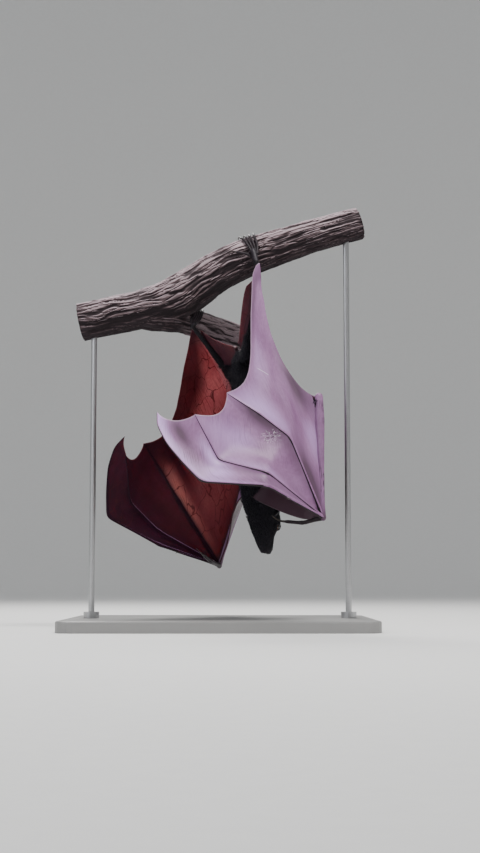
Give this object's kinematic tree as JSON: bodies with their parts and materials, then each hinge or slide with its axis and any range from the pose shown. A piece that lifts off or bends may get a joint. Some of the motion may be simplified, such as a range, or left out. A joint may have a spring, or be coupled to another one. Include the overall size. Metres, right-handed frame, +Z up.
{
  "type": "fruit bat model on display stand",
  "caption": "Life-size still model of a large fruit bat hanging head-down from a forked branch with its wings partly open, on a plain display stand.",
  "frame": {"origin": "Middle of the underside of the stand's base.", "axes": "+Z up. The branch runs along X, rising towards +X. The bat hangs head-down with its belly towards -X and its back towards +X. Its right wing is on the -Y side and its left wing on the +Y side."},
  "size_m": [0.5, 0.4, 0.7067],
  "materials": {
    "fur": "long soft near-black fur",
    "bare_skin": "dark fine-grained bare skin over the bones",
    "membrane_skin": "thin finely wrinkled wing skin, greyish mauve outside, red-brown inside",
    "eye_gloss": "wet dark brown eye",
    "bark": "rough grey-brown bark with lengthwise ridges",
    "stand_paint": "satin grey paint",
    "rod_steel": "plain satin steel rod"
  },
  "bodies": {
    "root": {"ear_left": "bare_skin", "ear_right": "bare_skin", "eye_left": "eye_gloss", "eye_right": "eye_gloss", "finger_3_left": "bare_skin", "finger_3_right": "bare_skin", "finger_4_left": "bare_skin", "finger_4_right": "bare_skin", "finger_5_left": "bare_skin", "finger_5_right": "bare_skin", "foot_left": "bare_skin", "foot_right": "bare_skin", "forearm_left": "bare_skin", "forearm_right": "bare_skin", "head": "fur", "index_left": "bare_skin", "index_right": "bare_skin", "neck": "fur", "perch_branch": "bark", "perch_spur": "bark", "shin_left": "fur", "shin_right": "fur", "stand_base": "stand_paint", "stand_collar_left": "rod_steel", "stand_collar_right": "rod_steel", "stand_rod_left": "rod_steel", "stand_rod_right": "rod_steel", "tail_web_left": "membrane_skin", "tail_web_right": "membrane_skin", "thigh_left": "fur", "thigh_right": "fur", "thumb_left": "bare_skin", "thumb_right": "bare_skin", "trunk": "fur", "upper_arm_left": "fur", "upper_arm_right": "fur", "web_2_3_left": "membrane_skin", "web_2_3_right": "membrane_skin", "web_3_4_left": "membrane_skin", "web_3_4_right": "membrane_skin", "web_4_5_left": "membrane_skin", "web_4_5_right": "membrane_skin", "web_front_left": "membrane_skin", "web_front_right": "membrane_skin", "web_inner_left": "membrane_skin", "web_inner_right": "membrane_skin", "web_outer_left": "membrane_skin", "web_outer_right": "membrane_skin"}
  },
  "joints": []
}
